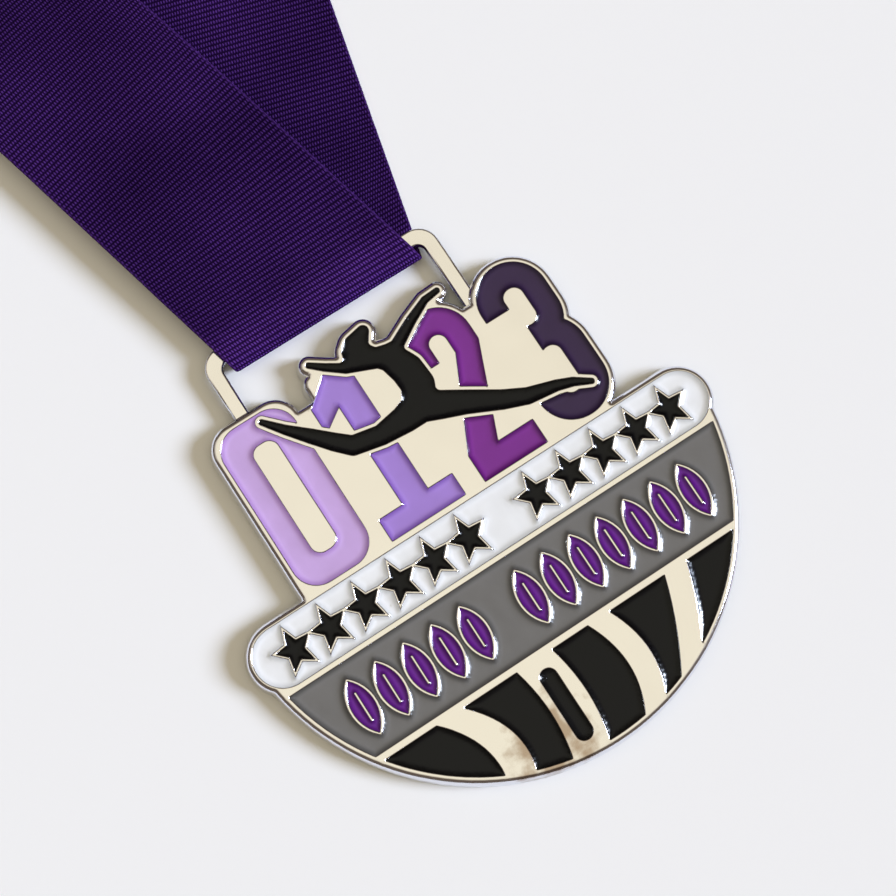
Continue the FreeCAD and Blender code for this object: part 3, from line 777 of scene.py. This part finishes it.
def ribbon_material():
    """Grosgrain: dark purple weft cords crossed by warp threads, lighter near the bend as a painted
    sheen.
    """
    material, nodes = new_material("grosgrain")
    cloth = nodes.split(nodes.attribute("cloth", "Vector"))
    rib = nodes.calc("MULTIPLY", cloth["X"], 1.0 / RIB)
    odd = nodes.calc("FLOOR", nodes.calc("MODULO", rib, 2.0))
    warp = nodes.calc("ADD", nodes.calc("MULTIPLY", cloth["Y"], 1.0 / WARP),
                      nodes.calc("MULTIPLY", odd, 0.5))
    wave = nodes.calc("SINE", nodes.calc("MULTIPLY", warp, 2 * math.pi))
    thread = nodes.calc("MULTIPLY_ADD", wave, 0.36, 0.64)
    high = nodes.calc("MULTIPLY", nodes.calc("SUBTRACT", 1.0, cloth["Z"]), thread)

    fuzz = nodes.noise(Scale=2400.0, Detail=2.0)
    # painted light on the rib crests and painted shade in the grooves, mixed with random fuzz
    fuzz_and_crest_light = nodes.calc("MULTIPLY_ADD", fuzz, 0.36, nodes.calc("MULTIPLY", high, 0.9))
    tone = nodes.ramp(nodes.calc("SUBTRACT", fuzz_and_crest_light, 0.12),
                      (0.0, RIBBON_DARK), (0.45, RIBBON_MAIN), (1.0, RIBBON_LIGHT))
    # broad patches painted lighter and darker: painted sheen and shade of the cloth's undulations
    sheen_patches = nodes.noise(Scale=26.0, Detail=4.0)
    shade = nodes.remap(sheen_patches, From_Min=0.3, From_Max=0.7, To_Min=0.66, To_Max=1.42)
    # painted sheen: the cloth within 5 to 10.5 mm of the bend is lightened
    bend_sheen = nodes.step(nodes.attribute("bend"), From_Min=5.0 * MM, From_Max=10.5 * MM,
                      To_Min=1.55, To_Max=1.0)
    colour = nodes.shaded(tone, nodes.calc("MULTIPLY", shade, bend_sheen))
    # lighter colour along both borders of the ribbon
    lighter_border = nodes.step(nodes.attribute("border"), From_Min=0.15 * MM, From_Max=0.55 * MM,
                     To_Min=0.45, To_Max=0.0)
    weave = nodes.bump(high, 0.8, 0.10 * MM)
    nodes.surface(Base_Color=nodes.mix(lighter_border, colour, RIBBON_EDGE),
                  Roughness=0.55,
                  Specular_IOR_Level=0.0,
                  Sheen_Weight=0.02,
                  Sheen_Roughness=0.4,
                  Sheen_Tint=(0.45, 0.30, 0.85, 1),
                  Normal=nodes.bump(fuzz, 0.35, 0.04 * MM, Normal=weave))
    return material


ribbon = new_piece("grosgrain_ribbon", ribbon_mesh(), ribbon_material(), "ribbon_bar_fold",
                   "ribbon_front_leg", "ribbon_back_leg", "ribbon_left_run", "ribbon_right_run")
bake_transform(ribbon)


# ---------------------------------------------------------------- stitches

THREAD = 0.15 * MM
ROW_SINK = 0.25 * MM
ZIGZAGS = 12
STITCHES = 6
STITCH_FROM = 0.06
STITCH_TO = 0.94
STITCH_RINGS = 7
STITCH_SIDES = 8
ARCH_POWER = 0.6
ARCH_RISE = 1.1
ARCH_SUNK = 0.5
THIN_END = 0.45
THREAD_FLATNESS = 0.8


def thread_material():
    """Twisted sewing thread, a little lighter than the ribbon."""
    material, nodes = new_material("thread")
    wave = nodes.add("ShaderNodeTexWave", Vector=nodes.place(), Scale=900.0, Distortion=1.5)
    twist = wave.outputs["Fac"]
    nodes.surface(Base_Color=nodes.ramp(twist, (0.0, THREAD_DARK), (1.0, THREAD_LIGHT)),
                  Roughness=0.5,
                  Sheen_Weight=0.3,
                  Normal=nodes.bump(twist, 0.5, 0.05 * MM))
    return material


def stitch_rings(start, end, out):
    """Points of one arched stitch, thick in the middle and sunk into the cloth at its ends."""
    side = (end - start).normalized().cross(out)
    made = []
    for ring in range(STITCH_RINGS):
        share = ring / (STITCH_RINGS - 1)
        arch = math.sin(math.pi * share) ** ARCH_POWER
        centre = start.lerp(end, share) + out * ((arch * ARCH_RISE - ARCH_SUNK) * THREAD)
        width = THREAD * (THIN_END + (1 - THIN_END) * arch)
        for j in range(STITCH_SIDES):
            angle = 2 * math.pi * j / STITCH_SIDES
            made.append(centre + side * (width * math.cos(angle))
                        + out * (width * THREAD_FLATNESS * math.sin(angle)))
    return made


def stitch_faces(first):
    """Quads along one stitch whose points start at first, and its two end caps."""
    made = []
    for row in range(first, first + (STITCH_RINGS - 1) * STITCH_SIDES, STITCH_SIDES):
        for j in range(STITCH_SIDES):
            after = (j + 1) % STITCH_SIDES
            made.append((row + j, row + after,
                         row + STITCH_SIDES + after, row + STITCH_SIDES + j))
    last = first + (STITCH_RINGS - 1) * STITCH_SIDES
    made.append(tuple(reversed(range(first, first + STITCH_SIDES))))
    made.append(tuple(range(last, last + STITCH_SIDES)))
    return made


def stitch_mesh():
    """Two zigzag rows of arched stitches, one on each face of the sewn lap."""
    low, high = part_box("seam_stitching")
    rise = (high.z - low.z - 2 * THREAD) / ZIGZAGS
    ends = (low.x + THREAD, high.x - THREAD)
    verts = []
    faces = []
    for face_y, out in ((low.y + ROW_SINK, Vector((0, -1, 0))),
                        (high.y - ROW_SINK, Vector((0, 1, 0)))):
        corners = [Vector((ends[k % 2], face_y, low.z + THREAD + rise * k))
                   for k in range(ZIGZAGS + 1)]
        for a, b in zip(corners, corners[1:]):
            for k in range(STITCHES):
                faces += stitch_faces(len(verts))
                verts += stitch_rings(a.lerp(b, (k + STITCH_FROM) / STITCHES),
                                      a.lerp(b, (k + STITCH_TO) / STITCHES), out)
    mesh = bpy.data.meshes.new("stitches")
    mesh.from_pydata(verts, [], faces)
    mesh.validate()
    mesh.polygons.foreach_set("use_smooth", [len(f) == 4 for f in faces])
    work = bmesh.new()
    work.from_mesh(mesh)
    bmesh.ops.recalc_face_normals(work, faces=work.faces)
    work.to_mesh(mesh)
    work.free()
    return mesh


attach(new_piece("lap_stitches", stitch_mesh(), thread_material(), "seam_stitching"), "neck_loop")


# ---------------------------------------------------------------- stage

TABLE_SIDE = 12.0
TABLE_DROP = 0.1 * MM
CAMERA_AT = (-0.033, -0.0192, 0.2751)
CAMERA_LENS = 63.3
CAMERA_TURN = ((-33.16, "Z"), (-2.26, "Y"), (9.99, "X"))
KEY_FROM = (1.42, -0.82, 1.10)
BACKDROP = (0.78, 0.78, 0.79, 1)


def table():
    """Matt white table top."""
    material, nodes = new_material("table")
    nodes.surface(Base_Color=(0.90, 0.92, 0.94, 1), Roughness=0.8, Specular_IOR_Level=0.0)
    mesh = bpy.data.meshes.new("table")
    corners = [(x * TABLE_SIDE, y * TABLE_SIDE, 0) for x, y in ((-1, -1), (1, -1), (1, 1), (-1, 1))]
    mesh.from_pydata(corners, [], [(0, 1, 2, 3)])
    mesh.materials.append(material)
    top = in_scene("table", mesh)
    top.location.z = -TABLE_DROP


def front_camera():
    """Camera almost straight above, turned so that the medal hangs askew in the picture."""
    camera = in_scene("camera", bpy.data.cameras.new("camera"))
    camera.data.lens = CAMERA_LENS
    camera.data.sensor_width = 36.0
    place = Matrix.Translation(CAMERA_AT)
    for degrees, axis in CAMERA_TURN:
        place = place @ Matrix.Rotation(math.radians(degrees), 4, axis)
    camera.matrix_world = place
    bpy.context.scene.camera = camera


def lamp(name, kind, place, target, power, colour):
    """Lamp at a place, aimed at a target."""
    data = bpy.data.lights.new(name, kind)
    data.energy = power
    data.color = colour
    made = in_scene(name, data)
    made.location = place
    made.rotation_euler = (Vector(target) - Vector(place)).to_track_quat("-Z", "Y").to_euler()
    return made


def lamps():
    """Cool key from the right, warm fill from the left, and a lamp that only makes glints."""
    key = lamp("key", "SUN", KEY_FROM, (0, 0, 0), 3.3, (0.84, 0.91, 1.10))
    key.data.angle = 0.40
    fill = lamp("fill", "AREA", (-0.7, 0.6, 0.9), (0, 0.05, 0), 0.8, (1.0, 0.92, 0.76))
    fill.data.size = 0.9
    sparkle = lamp("sparkle", "AREA", KEY_FROM, (0, 0.02, 0), 88.0, (0.96, 0.98, 1.0))
    sparkle.data.size = 0.34
    sparkle.visible_diffuse = False


def room():
    """Dome for light and mirrored shapes: warm ceiling, brown walls with a paler band, grey
    below. The camera itself sees a plain pale backdrop."""
    world = bpy.data.worlds.new("room")
    bpy.context.scene.world = world
    world.use_nodes = True
    nodes = Nodes(world.node_tree)
    direction = nodes.add("ShaderNodeTexCoord").outputs["Generated"]
    height = nodes.remap(nodes.split(direction)["Z"], From_Min=-1.0)
    dome = nodes.ramp(height,
                      (0.0, (0.30, 0.28, 0.26, 1)),
                      (0.50, (0.30, 0.26, 0.22, 1)),
                      (0.54, (0.05, 0.036, 0.027, 1)),
                      (0.62, (0.17, 0.13, 0.10, 1)),
                      (0.70, (0.12, 0.09, 0.065, 1)),
                      (0.80, (0.09, 0.06, 0.042, 1)),
                      (0.90, (0.42, 0.35, 0.25, 1)),
                      (0.955, (0.90, 0.80, 0.58, 1)),
                      (1.0, (1.02, 0.92, 0.67, 1)))
    seen = nodes.add("ShaderNodeLightPath").outputs["Is Camera Ray"]
    sky = world.node_tree.nodes["Background"]
    nodes.feed(sky, "Color", nodes.mix(seen, dome, BACKDROP))
    nodes.feed(sky, "Strength", 1.08)


table()
front_camera()
lamps()
room()
bpy.context.scene.view_settings.view_transform = "Standard"
